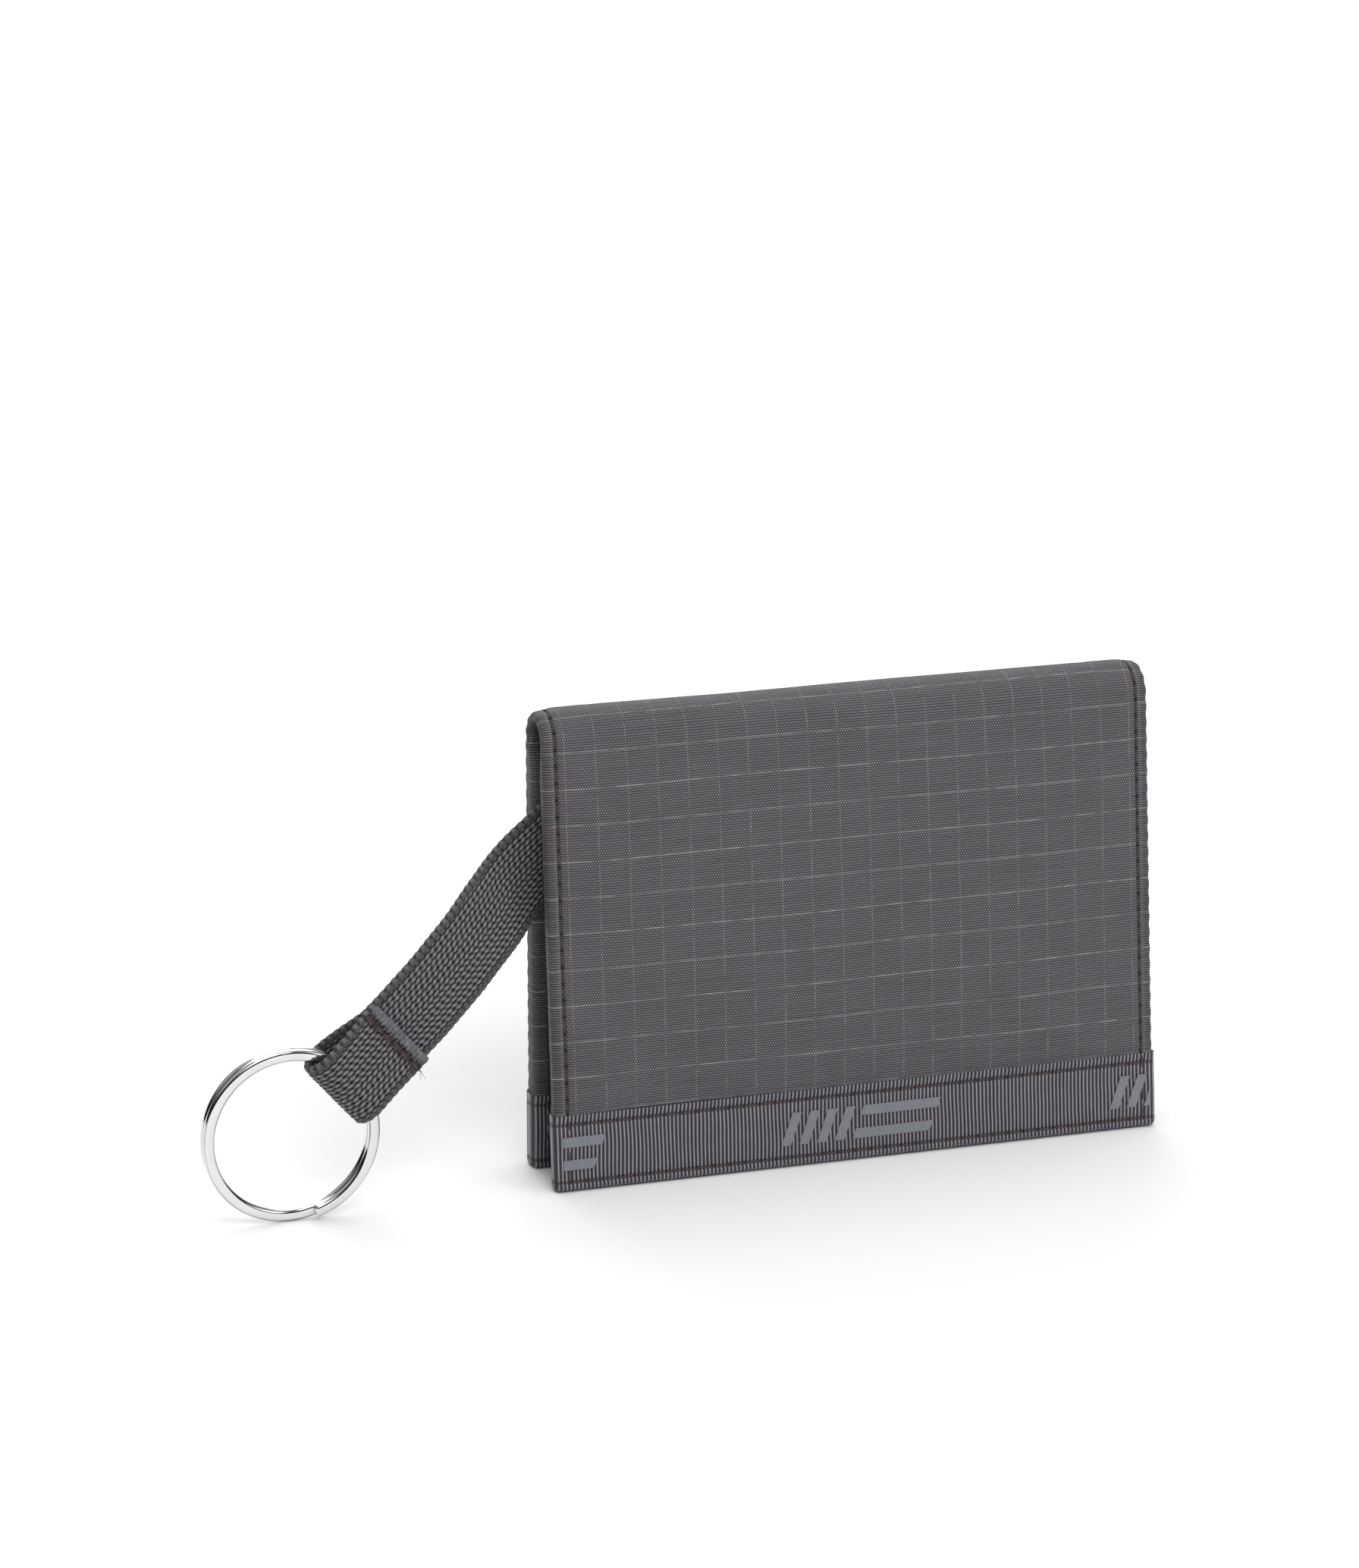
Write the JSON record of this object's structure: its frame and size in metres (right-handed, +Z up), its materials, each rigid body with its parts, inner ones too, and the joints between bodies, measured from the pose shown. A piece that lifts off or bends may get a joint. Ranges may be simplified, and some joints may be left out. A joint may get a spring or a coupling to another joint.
{
  "type": "bifold wallet",
  "caption": "Slim bifold card wallet in grey ripstop cloth with grosgrain hem tapes, inner pockets, a clear window, and a webbing key strap with a split ring, standing on its hems.",
  "frame": {"origin": "middle of the back half's foot, on the surface that the wallet stands on", "axes": "+X along the width to the right, the front half faces -Y, +Z up from the hems to the fold; the key strap comes out towards -X"},
  "size_m": [0.169, 0.0204, 0.0804],
  "materials": {
    "ripstop": "matte ripstop nylon weave",
    "lining": "matte plain-weave lining",
    "pocket_cloth": "matte ripstop nylon weave",
    "grosgrain": "ribbed grosgrain with a slight sheen",
    "webbing": "coarse looped nylon webbing",
    "thread": "twisted polyester thread",
    "padding": "soft non-woven interlining",
    "rubber_print": "satin raised rubber print",
    "clear_film": "clear flexible vinyl",
    "nickel": "polished nickel plate"
  },
  "bodies": {
    "back": {"shell_back": "ripstop", "interlining_back": "padding", "lining_back": "lining", "note_pocket": "pocket_cloth", "note_pocket_trim": "grosgrain", "slip_pocket": "pocket_cloth", "slip_pocket_trim": "grosgrain", "side_seam_back_left": "ripstop", "side_seam_back_right": "ripstop", "foot_seam_back": "ripstop", "hem_tape_back": "grosgrain", "hem_print_back": "rubber_print", "strap_root": "webbing", "strap_root_stitches": "thread"},
    "spine": {"shell_spine": "ripstop", "lining_spine": "lining"},
    "front": {"shell_front": "ripstop", "interlining_front": "padding", "lining_front": "lining", "id_panel": "pocket_cloth", "id_window": "clear_film", "id_panel_trim": "grosgrain", "side_seam_front_left": "ripstop", "side_seam_front_right": "ripstop", "foot_seam_front": "ripstop", "hem_tape_front": "grosgrain", "hem_print_front": "rubber_print"},
    "strap": {"key_strap": "webbing", "strap_loop_stitches": "thread"},
    "ring": {"split_ring": "nickel"}
  },
  "joints": [
    {"name": "front_fold", "type": "hinge", "parent": "spine", "child": "front", "pos_m": [0, -0.00628, 0.07918], "axis": [-1, 0, 0], "range_deg": [-2.5, 87.3]},
    {"name": "back_fold", "type": "hinge", "parent": "back", "child": "spine", "pos_m": [0, 0.00062, 0.07885], "axis": [-1, 0, 0], "range_deg": [-2.5, 87.3]},
    {"name": "strap_flex", "type": "hinge", "parent": "back", "child": "strap", "pos_m": [-0.05967, -0.00468, 0.04954], "axis": [-0.6547, 0, 0.7559], "range_deg": [-95, 60]},
    {"name": "ring_swing", "type": "hinge", "parent": "strap", "child": "ring", "pos_m": [-0.08964, -0.01384, 0.02358], "axis": [-0.6547, 0, 0.7559], "range_deg": [-140, 140]}
  ],
  "couplings": [
    {"joint": "back_fold", "follows": "front_fold", "ratio": 1}
  ]
}
